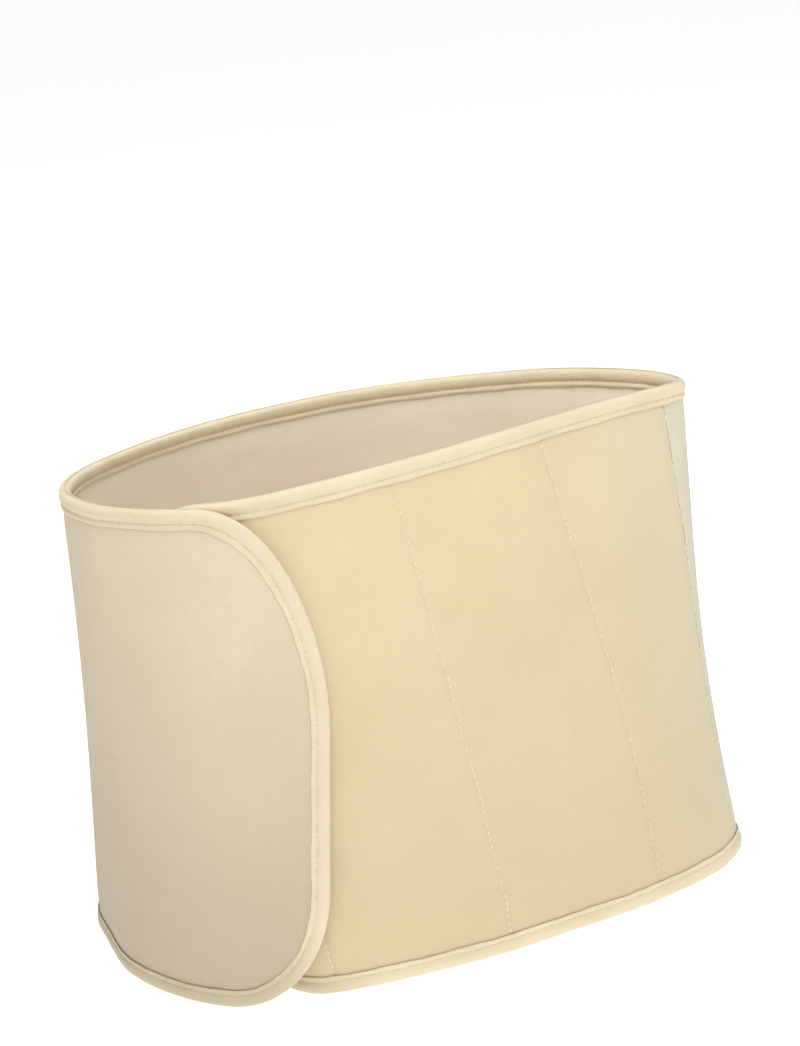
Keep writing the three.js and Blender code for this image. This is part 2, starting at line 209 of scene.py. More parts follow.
# --- Mesh building ---
def make_object(name, points, faces, uv, material, sharp=()):
    """One smooth mesh, with its places on the cloth in metres as its UVs."""
    mesh = bpy.data.meshes.new(name)
    mesh.from_pydata(np.reshape(points, (-1, 3)).tolist(), [], faces)
    mesh.update()
    layer = mesh.uv_layers.new(name="cloth")
    corners = np.empty(len(mesh.loops), np.int32)
    mesh.loops.foreach_get("vertex_index", corners)
    layer.data.foreach_set("uv", np.reshape(uv, (-1, 2))[corners].astype(np.float32).ravel())
    mesh.polygons.foreach_set("use_smooth", np.ones(len(mesh.polygons), bool))
    if len(sharp):
        wanted = {tuple(sorted(edge)) for edge in sharp}
        for edge in mesh.edges:
            edge.use_edge_sharp = tuple(sorted(edge.vertices)) in wanted
    mesh.materials.append(material)
    piece = bpy.data.objects.new(name, mesh)
    bpy.context.scene.collection.objects.link(piece)
    return piece


def quads_between(first, second):
    """Quads joining two closed loops of point numbers."""
    n = len(first)
    return [(first[k], first[(k + 1) % n], second[(k + 1) % n], second[k]) for k in range(n)]


def facing_out(points, faces):
    """The faces, turned over if the closed mesh would be inside out."""
    flat = np.reshape(points, (-1, 3))
    tri = np.array([(f[0], f[k], f[k + 1]) for f in faces for k in range(1, len(f) - 1)])
    a, b, c = (flat[tri[:, k]] for k in (0, 1, 2))
    volume = np.einsum("ij,ij->i", a, np.cross(b, c)).sum()
    return faces if volume > 0 else [tuple(reversed(face)) for face in faces]


def closed_sheet(name, grid, inner, outer, material):
    """A closed sheet of cloth over a grid of places, with its two faces at inner and outer."""
    s, z = grid
    rows, columns = s.shape
    points = np.stack([surface(s, z, outer), surface(s, z, inner)])
    back = rows * columns
    number = np.arange(back).reshape(rows, columns)
    a, b, c, d = number[:-1, :-1], number[:-1, 1:], number[1:, 1:], number[1:, :-1]
    front = np.stack([a, b, c, d], axis=-1).reshape(-1, 4)
    faces = [tuple(f) for f in front.tolist()]
    faces += [tuple(f) for f in (front[:, ::-1] + back).tolist()]
    rim = [*number[0, :-1], *number[:-1, -1], *number[-1, :0:-1], *number[:0:-1, 0]]
    rim = [int(k) for k in rim]
    faces += quads_between([k + back for k in rim], rim)
    faces = facing_out(points, faces)
    uv = np.stack([np.stack([s, z], axis=-1) * MM] * 2)
    ring = list(zip(rim, rim[1:] + rim[:1]))
    sharp = ring + [(i + back, j + back) for i, j in ring]
    return make_object(name, points, faces, uv, material, sharp)


def corner_inset(corner, from_edge, shrink):
    """How far a round corner draws the end in, at distances from the level edge."""
    width, height, power = corner
    width, height = width - shrink, height - shrink
    up = np.clip((height - from_edge) / height, 0, 1)
    return width * (1 - (1 - up ** power) ** (1 / power))


# Closer columns round a seam: their distances from it, and how far even ones keep clear
FINE_STEPS = (-4, -2.6, -1.7, -0.9, 0, 0.9, 1.7, 2.6, 4)
FINE_REACH = 4.4


def columns_between(start, end, step, fine_at=()):
    """Even places from one to another, with closer ones round each seam or crease."""
    count = max(2, round(abs(end - start) / step))
    places = list(np.linspace(start, end, count + 1))
    for centre in fine_at:
        if min(start, end) + FINE_REACH < centre < max(start, end) - FINE_REACH:
            places = [p for p in places if abs(p - centre) > FINE_REACH]
            places += [centre + d for d in FINE_STEPS]
    return sorted(places, reverse=end < start)


END_COLUMNS = 19             # columns that follow a round end


def sheet_grid(start, end, edge, corners=None, step=3.0, fine_at=()):
    """Grid of places from one upright line to another; with corners, the far end is round."""
    heights = np.linspace(edge, HEIGHT - edge, round(HEIGHT / ROW_STEP) + 1)
    if corners is None:
        s = np.tile(np.array(columns_between(start, end, step, fine_at)), (len(heights), 1))
    else:
        way = math.copysign(1, end - start)
        bend = end - way * (max(corners["top"][0], corners["bottom"][0]) + 0.5)
        fixed = np.array(columns_between(start, bend, step, fine_at))
        inset = np.maximum(corner_inset(corners["bottom"], heights - edge, edge),
                           corner_inset(corners["top"], HEIGHT - edge - heights, edge))
        reach = end - way * (edge + inset) - bend
        tails = np.arange(1, END_COLUMNS + 1) / END_COLUMNS
        s = np.hstack([np.tile(fixed, (len(heights), 1)), bend + reach[:, None] * tails])
    return s, np.tile(heights[:, None], (1, s.shape[1]))


# Outer side of the folded tape, from the fold to the leg's edge: (depth, half thickness)
TAPE_PROFILE = [
    (0.0, 0.0), (0.12, 1.15), (0.55, 2.15), (1.3, 2.8), (2.4, 3.15), (3.7, 3.25), (4.9, 3.1),
    (5.8, 2.8), (6.4, 2.4), (6.8, 2.15), (7.2, 2.05), (7.6, 2.2), (8.0, 2.5), (8.5, 2.7),
    (9.2, 2.72), (9.85, 2.62), (10.15, 2.4), (10.1, 2.15), (9.7, 2.05),
]
TAPE_LINING = 1.64           # inner wall of the tape, just clear of the cloth
TAPE_WALLS = (1.0, 9.4)      # the inner walls run between these depths
GROOVE = 7.1                 # depth of the sewn groove in the tape
SOFTEN = 7.0                 # reach of the softening of a tape's corners


def distances(across, up):
    """Distance run along a line, at each of its points."""
    return np.concatenate([[0], np.cumsum(np.hypot(np.diff(across), np.diff(up)))])


def even_route(places):
    """The route at even steps, its corners softened, with the inward direction at each place."""
    line = np.array([place[:2] for place in places])
    inward = np.array(places[len(places) // 4][2:])
    run = distances(*line.T)
    at = np.linspace(0, run[-1], round(run[-1] / ROW_STEP) + 1)
    smooth = np.zeros((len(at), 2))
    shares = np.linspace(-1, 1, 11)
    for share in shares:
        near = np.clip(at + share * SOFTEN, -run[-1], 2 * run[-1])
        for k in (0, 1):
            inside = np.interp(near, run, line[:, k])
            before = near * (line[1, k] - line[0, k]) / run[1] * (near < 0)
            after = np.maximum(near - run[-1], 0) * (line[-1, k] - line[-2, k])
            smooth[:, k] += inside + before + after / (run[-1] - run[-2])
    smooth /= len(shares)
    ahead = np.gradient(smooth, axis=0)
    ahead /= np.linalg.norm(ahead, axis=1)[:, None]
    across = np.stack([-ahead[:, 1], ahead[:, 0]], axis=1)
    across *= math.copysign(1, across[len(across) // 4] @ inward)
    return [(*place, *way) for place, way in zip(smooth, across)]


def tape_section():
    """Closed outline of the folded tape: depths, and distances from the middle of the cloth."""
    outer = TAPE_PROFILE[1:]
    near, far = TAPE_WALLS
    inside = [(far, TAPE_LINING), (near, TAPE_LINING), (near, -TAPE_LINING), (far, -TAPE_LINING)]
    section = [TAPE_PROFILE[0], *outer, *inside, *[(d, -t) for d, t in reversed(outer)]]
    return (np.array(column) for column in zip(*section))


def sewn_unevenness(run, depth, half):
    """The section at each place along a sewn tape, which varies a little: depths, stand-off."""
    pucker = 0.10 * np.sin(run * 0.83 + 0.7) * np.sin(run * 0.31) + 0.07 * np.sin(run * 1.9)
    roll = 0.12 * np.sin(run * 0.21 + 1.1) + 0.08 * np.sin(run * 0.53)
    near_groove = np.exp(-((depth - GROOVE) / 0.9) ** 2) * np.sign(half)
    body = smoothstep(depth, 0.3, 2.5) * (1 - smoothstep(depth, 6, 7)) * np.sign(half)
    is_wall = np.abs(np.abs(half) - TAPE_LINING) < 0.01
    inside_ends = smoothstep(np.minimum(run, run[-1] - run), 0, 6)
    extra = np.where(is_wall, 0, near_groove) * (pucker * inside_ends)[:, None]
    extra = extra + np.where(is_wall, 0, body) * (roll * inside_ends)[:, None]
    waver = (0.22 * np.sin(run * 0.16 + 2.0) + 0.12 * np.sin(run * 0.47)) * inside_ends
    deep = depth + np.where(np.abs(depth) > 8, 1, 0) * waver[:, None]
    return deep, half + extra


def tape_piece(name, route, material):
    """A folded tape along a route of (s, z, in_s, in_z), with a rolled edge and a sewn groove."""
    s, z, in_s, in_z = (np.array(column) for column in zip(*route))
    depth, half = tape_section()
    run = distances(s, z)
    deep, stand_off = sewn_unevenness(run, depth, half)
    points = surface(s[:, None] + deep * in_s[:, None], z[:, None] + deep * in_z[:, None],
                     stand_off)
    count = len(depth)
    number = np.arange(points.shape[0] * count).reshape(-1, count)
    faces = []
    for first, second in zip(number[:-1], number[1:]):
        faces += quads_between(first.tolist(), second.tolist())
    faces += [tuple(number[0].tolist()), tuple(number[-1, ::-1].tolist())]
    faces = facing_out(points, faces)
    uv = np.stack(np.broadcast_arrays(run[:, None], distances(depth, half)), axis=-1) * MM
    sharp = [edge for row in (number[0], number[-1])
             for edge in zip(row.tolist(), np.roll(row, -1).tolist())]
    return make_object(name, points, faces, uv, material, sharp)


def edge_route(places, z, inward):
    """Along a level edge, as (s, z, in_s, in_z)."""
    return [(s, z, 0.0, inward) for s in places]


def corner_route(end, way, corner, at_top):
    """Round one corner, from the level edge to the upright end."""
    width, height, power = corner
    route, steps = [], round((width + height) / 3)
    for angle in np.linspace(0, math.pi / 2, steps):
        across, level = math.sin(angle) ** (2 / power), max(math.cos(angle), 0) ** (2 / power)
        slope_s, slope_z = across ** (power - 1) / width, level ** (power - 1) / height
        size = math.hypot(slope_s, slope_z)
        drop = height * (1 - level)
        route.append((end - way * width * (1 - across), HEIGHT - drop if at_top else drop,
                      -way * slope_s / size, (-slope_z if at_top else slope_z) / size))
    return route


def wrap_route(start, end, corners):
    """Along the upper edge, round the end and back along the lower edge."""
    way = math.copysign(1, end - start)
    top, bottom = corners["top"], corners["bottom"]
    upper = columns_between(start, end - way * top[0], ROW_STEP)[:-1]
    lower = columns_between(start, end - way * bottom[0], ROW_STEP)[:-1]
    heights = np.linspace(HEIGHT - top[1], bottom[1], 40)[1:-1]
    route = edge_route(upper, HEIGHT, -1.0) + corner_route(end, way, top, True)
    route += [(end, z, -way, 0.0) for z in heights]
    route += corner_route(end, way, bottom, False)[::-1]
    return route + edge_route(lower[::-1], 0.0, 1.0)


def repeated(name, places, corners, sides, material):
    """One object of many alike closed bodies; corners lists each body's rings in order."""
    points = np.stack(corners, axis=1)
    per = points.shape[1]
    one = []
    for start in range(0, per - sides, sides):
        first = list(range(start, start + sides))
        one += quads_between(first, [k + sides for k in first])
    one += [tuple(range(sides))[::-1], tuple(range(per - sides, per))]
    one = facing_out(points[0], one)
    faces = [tuple(k + i * per for k in face) for i in range(len(points)) for face in one]
    uv = np.repeat((places * MM)[:, None, :], per, axis=1)
    return make_object(name, points, faces, uv, material)


# A stitch is a small spindle: stations along it, each with its share of the full radius
STITCH_STATIONS = [(-0.92, 0.45), (-0.55, 0.95), (0.0, 1.0), (0.55, 0.95), (0.92, 0.45)]
STITCH_SIDES = 6


def stitch_row(name, places, along, outward, length, radius, material):
    """Stitches centred on places (s, z), each lying along its own direction (ds, dz)."""
    places, along = np.array(places, float), np.array(along, float)
    along /= np.linalg.norm(along, axis=1)[:, None]
    tips = [surface(*(places + along * side * length / 2).T, outward) for side in (-1, 1)]
    middle = surface(*places.T, outward)
    ahead = tips[1] - tips[0]
    reach = np.linalg.norm(ahead, axis=1)[:, None] / 2
    ahead /= 2 * reach
    facing = np.sign(np.broadcast_to(outward, len(places)))[:, None]
    out = outward_at(*places.T) * facing
    side = np.cross(ahead, out)
    rings = []
    for station, share in STITCH_STATIONS:
        sink = out * (radius * MM * 0.9 * station ** 2)
        centre = middle + ahead * reach * station - sink
        for k in range(STITCH_SIDES):
            angle = 2 * math.pi * k / STITCH_SIDES
            rings.append(centre + radius * MM * share
                         * (side * math.cos(angle) + out * 0.8 * math.sin(angle)))
    return repeated(name, places, rings, STITCH_SIDES, material)


def along_route(route, depth, pitch):
    """Even places and directions at one depth inside a tape's route."""
    line = np.array([(s + depth * in_s, z + depth * in_z) for s, z, in_s, in_z in route])
    run = distances(*line.T)
    at = np.arange(pitch, run[-1] - pitch, pitch)
    ahead = [np.interp(at + 0.5, run, line[:, k]) - np.interp(at - 0.5, run, line[:, k])
             for k in (0, 1)]
    places = [np.interp(at, run, line[:, k]) for k in (0, 1)]
    return np.stack(places, axis=1), np.stack(ahead, axis=1)


# --- Materials ---
FULL_TURN = 6.2832
KNIT_WALE, KNIT_COURSE = 0.0011, 0.0009   # width and height of a knitted loop, metres
RIB_PITCH = 0.0010           # of the binding tape, metres
STUB_PITCH = 0.0015          # of the rows of stubs between the hooks, metres


def add_node(tree, kind, settings=None, **inputs):
    """Add one node; an input is a value, or the output socket that feeds it."""
    node = tree.nodes.new(kind)
    for key, value in (settings or {}).items():
        setattr(node, key, value)
    for key, value in inputs.items():
        socket = node.inputs[int(key[1:])] if key[0] == "i" and key[1:].isdigit() \
            else node.inputs[key.replace("_", " ")]
        if isinstance(value, bpy.types.NodeSocket):
            tree.links.new(value, socket)
        else:
            socket.default_value = value
    return node


def maths(tree, operation, a, b=0.0):
    return add_node(tree, "ShaderNodeMath", {"operation": operation}, i0=a, i1=b).outputs[0]


def noise(tree, where, scale, detail=2.0, roughness=0.5):
    return add_node(tree, "ShaderNodeTexNoise", None, Vector=where, Scale=scale, Detail=detail,
                    Roughness=roughness).outputs["Fac"]


def split(tree, vector):
    """The three parts of a vector socket."""
    return add_node(tree, "ShaderNodeSeparateXYZ", None, Vector=vector).outputs


def stretched(tree, where, factors):
    """Coordinates scaled by a different amount each way."""
    return add_node(tree, "ShaderNodeMapping", None, Vector=where, Scale=factors).outputs[0]


def mixed(tree, factor, first, second):
    node = add_node(tree, "ShaderNodeMix", {"data_type": "RGBA"}, Factor=factor)
    for socket, value in ((node.inputs[6], first), (node.inputs[7], second)):
        if isinstance(value, bpy.types.NodeSocket):
            tree.links.new(value, socket)
        else:
            socket.default_value = (*value, 1)
    return node.outputs[2]


def tinted(tree, colour, factor, share, towards):
    """The colour, mixed towards another by a share of the factor."""
    return mixed(tree, maths(tree, "MULTIPLY", factor, share), colour, towards)


def ramp(tree, factor, low, high):
    return add_node(tree, "ShaderNodeMapRange", {"interpolation_type": "SMOOTHSTEP"},
                    Value=factor, From_Min=low, From_Max=high).outputs[0]


def bumped(tree, height, distance, normal=None):
    node = add_node(tree, "ShaderNodeBump", None, Height=height, Distance=distance)
    if normal is not None:
        tree.links.new(normal, node.inputs["Normal"])
    return node.outputs[0]


def start_material(name, roughness, **shader_values):
    material = bpy.data.materials.new(name)
    material.use_nodes = True
    tree = material.node_tree
    shader = tree.nodes["Principled BSDF"]
    shader.inputs["Roughness"].default_value = roughness
    for key, value in shader_values.items():
        shader.inputs[key.replace("_", " ")].default_value = value
    coordinates = tree.nodes.new("ShaderNodeTexCoord")
    cloth = add_node(tree, "ShaderNodeUVMap", {"uv_map": "cloth"}).outputs[0]
    return material, tree, shader, coordinates.outputs["Object"], cloth


def darker(colour, share):
    return tuple(share * v for v in colour)


def painted(tree, shader, colour, normal):
    """Give the shader its colour and its bumps."""
    tree.links.new(colour, shader.inputs["Base Color"])
    tree.links.new(normal, shader.inputs["Normal"])


def roughened(tree, shader, factor, low, high):
    """Let the roughness follow a factor."""
    rough = add_node(tree, "ShaderNodeMapRange", None, Value=factor, To_Min=low, To_Max=high)
    tree.links.new(rough.outputs[0], shader.inputs["Roughness"])


def shaded_low(tree, where, colour, low_shade_tone, most=0.5):
    """The colour, passing towards a darker one near the bottom: painted shade, where less light
    reaches.
    """
    low = ramp(tree, split(tree, where)[2], 0.30, -0.06)
    return tinted(tree, colour, low, most, low_shade_tone)


def srgb(red, green, blue):
    """Linear colour from an 8-bit display colour."""
    return tuple((v / 255 / 12.92) if v <= 10 else ((v / 255 + 0.055) / 1.055) ** 2.4
                 for v in (red, green, blue))


def knit_height(tree, cloth):
    """Height of a fine knit: columns of small V shapes."""
    parts = split(tree, cloth)
    across = maths(tree, "DIVIDE", parts[0], KNIT_WALE)
    up = maths(tree, "DIVIDE", parts[1], KNIT_COURSE)
    slant = maths(tree, "PINGPONG", across, 0.5)
    up = maths(tree, "ADD", up, slant)
    loops = maths(tree, "SINE", maths(tree, "MULTIPLY", up, FULL_TURN))
    columns = maths(tree, "COSINE", maths(tree, "MULTIPLY", across, FULL_TURN))
    return maths(tree, "ADD", maths(tree, "MULTIPLY", loops, 0.5),
                 maths(tree, "MULTIPLY", columns, 0.35))


def knit_material(name, light, dark, fold_sheen_tone=None):
    """Fine smooth knit with a little colour variation, lint, soft unevenness, and painted shade
    in its valleys and towards the bottom.

    With a third colour, the cloth passes towards it at the right fold: painted grazing sheen and
    shade.
    """
    material, tree, shader, where, cloth = start_material(
        name, 0.86, Sheen_Weight=0.12, Sheen_Roughness=0.6, Specular_IOR_Level=0.18)
    broad = ramp(tree, noise(tree, where, 11.0, 3.0), 0.3, 0.7)
    fine = noise(tree, where, 900.0, 2.0)
    stitches = knit_height(tree, cloth)
    colour = mixed(tree, broad, light, dark)
    shade = darker(dark, 0.86)
    colour = tinted(tree, colour, fine, 0.22, shade)
    # painted shade in the knit's valleys
    valleys = ramp(tree, stitches, 0.1, -0.8)
    colour = tinted(tree, colour, valleys, 0.10, shade)
    # painted shade, darker towards the bottom
    colour = shaded_low(tree, where, colour, darker(dark, 0.6), 0.8)
    if fold_sheen_tone is not None:
        # painted grazing sheen and shade: greyer towards the right fold
        at_fold = ramp(tree, split(tree, cloth)[0], 0.11, 0.175)
        colour = tinted(tree, colour, at_fold, 0.9, fold_sheen_tone)
    soft = bumped(tree, noise(tree, where, 70.0, 3.0), 0.0008)
    normal = bumped(tree, stitches, 0.00006, soft)
    normal = bumped(tree, fine, 0.00006, normal)
    painted(tree, shader, colour, normal)
    return material


def loop_material(name, light, dark, loop_fold_sheen):
    """Brushed loop cloth: a short warm pile, streaked and mottled, with painted shade in its
    hollows and towards the bottom, and painted grazing sheen and shade towards the fold.
    """
    material, tree, shader, where, cloth = start_material(
        name, 0.93, Sheen_Weight=0.2, Sheen_Roughness=0.5, Specular_IOR_Level=0.12)
    broad = ramp(tree, noise(tree, where, 14.0, 4.0, 0.55), 0.3, 0.7)
    streaks = noise(tree, stretched(tree, cloth, (260.0, 60.0, 1.0)), 1.0, 3.0)
    pile = noise(tree, stretched(tree, cloth, (1500.0, 1100.0, 1.0)), 1.0, 3.0, 0.6)
    colour = mixed(tree, broad, light, dark)
    shade = darker(dark, 0.84)
    colour = tinted(tree, colour, streaks, 0.14, shade)
    # painted shade in the pile's hollows
    hollows = ramp(tree, pile, 0.65, 0.3)
    colour = tinted(tree, colour, hollows, 0.25, shade)
    # painted shade, darker towards the bottom
    colour = shaded_low(tree, where, colour, darker(dark, 0.76))
    # painted grazing sheen and shade: greyer towards the right fold
    at_fold = ramp(tree, split(tree, cloth)[0], 0.27, 0.18)
    colour = tinted(tree, colour, at_fold, 0.75, loop_fold_sheen)
    soft = bumped(tree, noise(tree, where, 60.0, 3.0), 0.0009)
    normal = bumped(tree, streaks, 0.00025, soft)
    normal = bumped(tree, pile, 0.00022, normal)
    painted(tree, shader, colour, normal)
    return material


def tape_material(name, light, dark):
    """Binding tape: fine ribs with a faint slant, lint, painted shade between the ribs, and
    painted shade by the flap's lower corner.
    """
    material, tree, shader, where, cloth = start_material(
        name, 0.8, Sheen_Weight=0.15, Sheen_Roughness=0.5, Specular_IOR_Level=0.2)
    parts = split(tree, cloth)
    slant = maths(tree, "MULTIPLY", parts[1], 0.6)
    ribs = maths(tree, "ADD", parts[0], slant)
    ribs = maths(tree, "SINE", maths(tree, "MULTIPLY", ribs, FULL_TURN / RIB_PITCH))
    broad = ramp(tree, noise(tree, where, 30.0, 3.0), 0.3, 0.7)
    fine = noise(tree, where, 1100.0, 2.0)
    colour = mixed(tree, broad, light, dark)
    shade = darker(dark, 0.84)
    colour = tinted(tree, colour, fine, 0.25, shade)
    # painted shade between the ribs
    hollows = ramp(tree, ribs, 0.0, -1.0)
    colour = tinted(tree, colour, hollows, 0.12, shade)
    # painted shade, darker at the flap's lower corner
    place = split(tree, where)
    lower_corner_shade = maths(tree, "MULTIPLY", ramp(tree, place[0], -0.02, -0.09),
                    ramp(tree, place[2], 0.05, -0.01))
    colour = tinted(tree, colour, lower_corner_shade, 0.75, darker(dark, 0.62))
    soft = bumped(tree, noise(tree, where, 190.0, 3.0), 0.0005)
    normal = bumped(tree, ribs, 0.00005, soft)
    normal = bumped(tree, fine, 0.00005, normal)
    painted(tree, shader, colour, normal)
    return material


def felt_material(name, light, dark):
    """Wadding: matted fibres."""
    material, tree, shader, where, _ = start_material(name, 0.95, Sheen_Weight=0.3)
    fibres = noise(tree, stretched(tree, where, (700.0, 700.0, 260.0)), 1.0, 4.0, 0.7)
    clumps = noise(tree, where, 60.0, 3.0)
    colour = mixed(tree, ramp(tree, fibres, 0.3, 0.7), light, dark)
    colour = tinted(tree, colour, clumps, 0.3, dark)
    normal = bumped(tree, fibres, 0.0004, bumped(tree, clumps, 0.0012))
    painted(tree, shader, colour, normal)
    return material


def thread_material(name, light, dark):
    """Twisted sewing thread, with slanting plies."""
    material, tree, shader, where, _ = start_material(
        name, 0.55, Sheen_Weight=0.3, Specular_IOR_Level=0.35)
    plies = add_node(tree, "ShaderNodeTexWave", {"bands_direction": "DIAGONAL"}, Vector=where,
                     Scale=420.0, Distortion=1.5).outputs["Fac"]
    fuzz = noise(tree, where, 2600.0, 2.0)
    colour = mixed(tree, maths(tree, "MULTIPLY", plies, 0.55), light, dark)
    colour = tinted(tree, colour, fuzz, 0.2, dark)
    painted(tree, shader, colour, bumped(tree, plies, 0.00012))
    return material


def steel_material(name, light, dark):
    """Brushed spring steel, streaked along its length, with faint stains."""
    material, tree, shader, where, _ = start_material(name, 0.34, Metallic=1.0, Anisotropic=0.5)
    streaks = noise(tree, stretched(tree, where, (3000.0, 3000.0, 30.0)), 1.0, 3.0)
    stains = noise(tree, where, 90.0, 4.0)
    colour = mixed(tree, ramp(tree, streaks, 0.3, 0.7), light, dark)
    colour = tinted(tree, colour, stains, 0.3, dark)
    roughened(tree, shader, streaks, 0.26, 0.48)
    painted(tree, shader, colour, bumped(tree, streaks, 0.00003))
    return material


def hook_material(name, light, dark):
    """Moulded matte plastic of the hooks and their base, with rows of small stubs between, and
    painted shade in the gaps round the stubs.
    """
    material, tree, shader, where, cloth = start_material(
        name, 0.5, Specular_IOR_Level=0.4, Subsurface_Weight=0.05)
    grain = noise(tree, where, 1500.0, 2.0)
    patches = noise(tree, where, 45.0, 3.0)
    colour = mixed(tree, patches, light, dark)
    colour = tinted(tree, colour, grain, 0.25, dark)
    parts = split(tree, cloth)
    waves = [maths(tree, "SINE", maths(tree, "MULTIPLY", part, FULL_TURN / STUB_PITCH))
             for part in (parts[0], parts[1])]
    stubs = ramp(tree, maths(tree, "MULTIPLY", *waves), 0.1, 0.7)
    # painted shade between the stubs
    shade = darker(dark, 0.62)
    gaps = maths(tree, "SUBTRACT", 1.0, stubs)
    colour = tinted(tree, colour, gaps, 0.35, shade)
    roughened(tree, shader, patches, 0.42, 0.62)
    normal = bumped(tree, stubs, 0.0004, bumped(tree, grain, 0.00006))
    painted(tree, shader, colour, normal)
    return material


PLAIN_TONES = (srgb(228, 211, 182), srgb(221, 204, 175))
plain_cloth = knit_material("plain_knit", *PLAIN_TONES)
# the plain knit, with painted grazing sheen and shade towards the right fold
side_cloth = knit_material("side_knit", *PLAIN_TONES, srgb(210, 204, 184))
# its third colour is painted grazing sheen and shade towards the fold
loop_cloth = loop_material("brushed_loop", srgb(226, 209, 170), srgb(220, 202, 163),
                           srgb(210, 201, 172))
lining_cloth = knit_material("lining_knit", srgb(251, 239, 219), srgb(246, 233, 213))
binding_tape = tape_material("binding_tape", srgb(232, 218, 187), srgb(225, 210, 178))
padding = felt_material("wadding", srgb(240, 234, 222), srgb(214, 206, 190))
thread = thread_material("sewing_thread", srgb(252, 243, 218), srgb(226, 211, 176))
# the thread's own tone, made darker than the tape as painted shade of the sewn groove
tape_thread = thread_material("tape_thread", srgb(216, 201, 167), srgb(192, 176, 142))
stay_steel = steel_material("spring_steel", srgb(205, 208, 212), srgb(150, 154, 160))
hook_plastic = hook_material("hook_plastic", srgb(238, 228, 204), srgb(220, 208, 182))


# --- Joining the pieces to the frame ---
def crossing(s, ahead, before, after):
    """Start and end of a bend across an upright line, along a direction in the frame."""
    middle = Vector(surface(s, HEIGHT / 2, 0.0).tolist())
    ahead = Vector(ahead).normalized() * MM
    return {"start": tuple(middle - ahead * before), "end": tuple(middle + ahead * after)}


LEFT = ("back_panel", "left_side")
FLAP = ("left_side", "closure_flap")
RIGHT = ("back_panel", "front_panel")
# The flap's bend starts at its root, so that nothing behind the root turns into the front
CROSSINGS = {
    LEFT: crossing(PLACE["left_fold"], (0.0, -0.996, -0.091), 16, 16),
    FLAP: crossing(PLACE["flap_root"], (0.97, -0.25, -0.101), 0, 16),
    RIGHT: crossing(PLACE["right_fold"], (-0.22, -0.97, 0.07), 8, 8),
}


def attach(piece, bodies, nodes=()):
    """Parent a piece to its body, or for a pair of bodies bake its transform in place, and hide
    the nodes it stands for.
    """
    if isinstance(bodies, tuple):
        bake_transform(piece)
    else:
        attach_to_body(piece, bodies)
    if nodes:
        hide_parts(*nodes)
    return piece


# --- Cloths ---
def stitch_lines(stays):
    """The pocket seams, each beside its stay; the last front stay has its seam beyond it."""
    last = PLACE["lap_stay"]
    return [s + STAY_ASIDE if s == last else s - STAY_ASIDE for s in stays]


CLOTH_RISE = 0.45            # how far a cloth's face rises inside the tape
RISE_FROM, RISE_TO = 9, 24   # distances from the band's edges between which it rises
SEAM_DEPTH, CREASE_DEPTH, STAY_RELIEF = 0.62, 0.5, 0.3


def quilting(s, z, seams, stays, crease=None, rise=CLOTH_RISE):
    """Relief of the outer face: sunk seams, raised stays and a soft rise inside the tape."""
    relief = rise * smoothstep(np.minimum(z, HEIGHT - z), RISE_FROM, RISE_TO)
    if crease is not None:
        relief = relief - CREASE_DEPTH * np.exp(-((s - crease) / 1.3) ** 2)
    for seam in seams:
        relief = relief - SEAM_DEPTH * np.exp(-((s - seam) / 1.2) ** 2)
        gather = np.sin(z * 0.52 + seam) + 0.7 * np.sin(z * 0.23 + 2 * seam)
        relief = relief + 0.09 * gather * np.exp(-((s - seam) / 4.5) ** 2)
    for stay in stays:
        along = smoothstep(np.minimum(z, HEIGHT - z), STAY_END - 3, STAY_END + 5)
        relief = relief + STAY_RELIEF * along * np.exp(-((s - stay) / 3.4) ** 4)
    return relief


def cloth(name, start, end, layer, material, seams=(), stays=(), corners=None, crease=None,
          rise=CLOTH_RISE):
    """One cut length of cloth; the lining's relief is on its inner face."""
    grid = sheet_grid(start, end, CLOTH_EDGE, corners,
                      fine_at=seams if crease is None else [*seams, crease])
    relief = quilting(*grid, seams, stays, crease, rise)
    inner, outer = layer
    if inner < 0:
        return closed_sheet(name, grid, inner - relief, outer, material)
    return closed_sheet(name, grid, inner, outer + relief, material)


FLAP_END, UNDERLAP_END, SEAM = PLACE["flap_end"], PLACE["underlap_end"], PLACE["seam"]
HALF_GAP = 0.15              # half the gap between two cut lengths at a seam
front_seams = stitch_lines(FRONT_STAYS)
back_seams = stitch_lines(BACK_STAYS)


def make_cloths():
    back = cloth("outer_back_cloth", SEAM - HALF_GAP, SPLIT_LEFT, OUTER, plain_cloth,
                 [SEAM, *back_seams], BACK_STAYS)
    attach(back, LEFT, ["back_outer_cloth", "left_side_outer"])
    flap = cloth("outer_flap_cloth", SPLIT_LEFT, FLAP_END, OUTER, plain_cloth,
                 corners=FLAP_CORNERS, crease=PLACE["flap_root"])
    attach(flap, FLAP, ["flap_outer"])
    side_end = front_seams[0]
    side = cloth("outer_side_cloth", SEAM + HALF_GAP, side_end - HALF_GAP, OUTER, side_cloth,
                 [SEAM, side_end], FRONT_STAYS)
    attach(side, RIGHT, ["back_side_cloth"])
    front = cloth("outer_loop_cloth", side_end + HALF_GAP, UNDERLAP_END, OUTER, loop_cloth,
                  front_seams, FRONT_STAYS, UNDERLAP_CORNERS)
    attach(front, "front_panel", ["front_loop_cloth"])


FLAP_LINING_RISE = 0.12      # less than elsewhere, so that the hooked panel lies on it


def make_linings():
    back = cloth("back_lining_cloth", SPLIT_RIGHT, SPLIT_LEFT, LINING, lining_cloth, [SEAM])
    attach(back, LEFT, ["back_lining", "left_side_lining"])
    flap = cloth("flap_lining_cloth", SPLIT_LEFT, FLAP_END, LINING, lining_cloth,
                 corners=FLAP_CORNERS, rise=FLAP_LINING_RISE)
    attach(flap, FLAP, ["flap_lining"])
    front = cloth("front_lining_cloth", SPLIT_RIGHT, UNDERLAP_END, LINING, lining_cloth,
                  front_seams, FRONT_STAYS, UNDERLAP_CORNERS)
    attach(front, RIGHT, ["front_lining"])


# --- What lies between the cloths ---
WADDING_EDGE, WADDING_STEP, WADDING_FILL = 3.0, 4.0, 0.3


